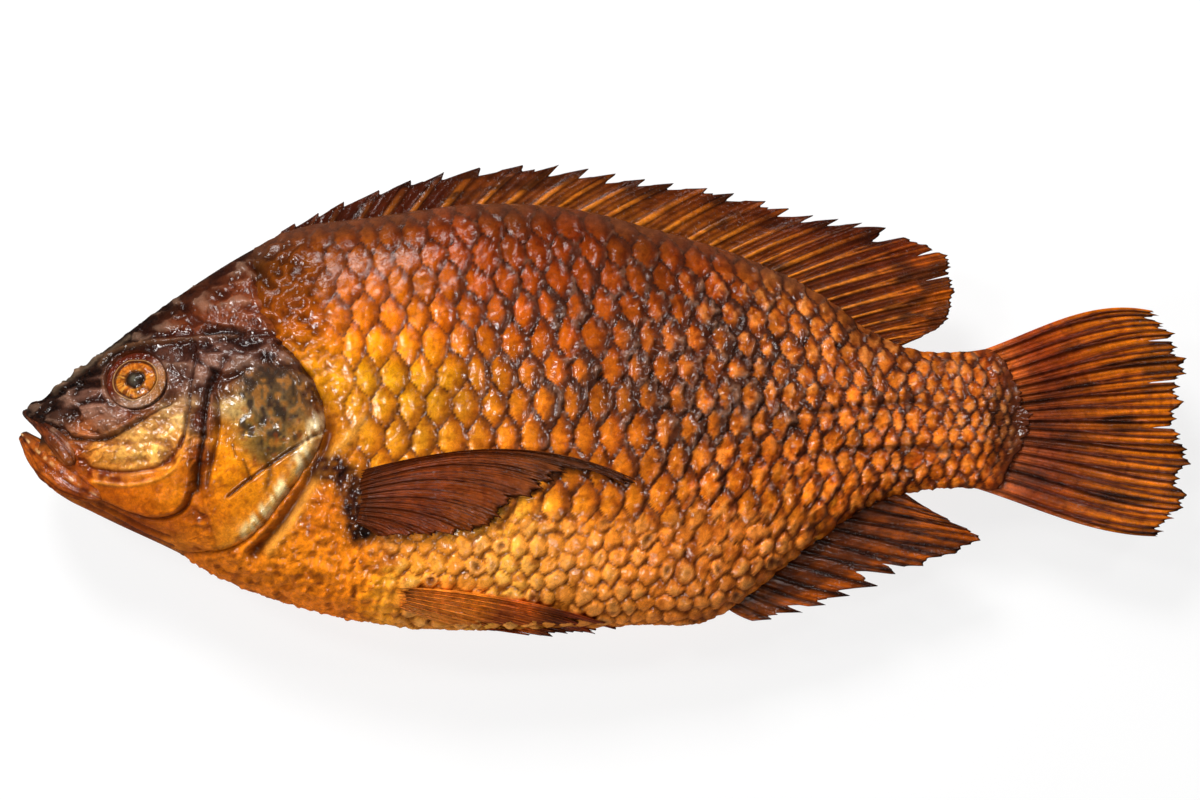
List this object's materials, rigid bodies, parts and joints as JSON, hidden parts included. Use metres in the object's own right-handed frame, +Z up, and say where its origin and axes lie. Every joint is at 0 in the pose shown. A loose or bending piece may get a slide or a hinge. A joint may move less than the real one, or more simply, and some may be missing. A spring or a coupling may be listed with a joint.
{
  "type": "smoked fish",
  "caption": "Whole hot-smoked tilapia lying on its right side, with golden-brown scaly skin, spread dried fins and a slightly open mouth",
  "frame": {"origin": "centre of the foot of the whole fish's box, on the surface it lies on", "axes": "+X runs from the snout to the tail along the body, +Y to the dorsal fin, +Z up out of the left flank; the belly faces -Y"},
  "size_m": [0.3006, 0.1224, 0.0428],
  "materials": {
    "smoked_skin": "oily smoked fish skin, satin gloss, golden belly to red-brown back",
    "dried_fin": "dried fin rays and membrane, dark brown with blackened tips",
    "eye": "glossy amber iris with a clouded dark pupil"
  },
  "bodies": {
    "root": {"smoked_fish": "smoked_skin"}
  },
  "joints": []
}
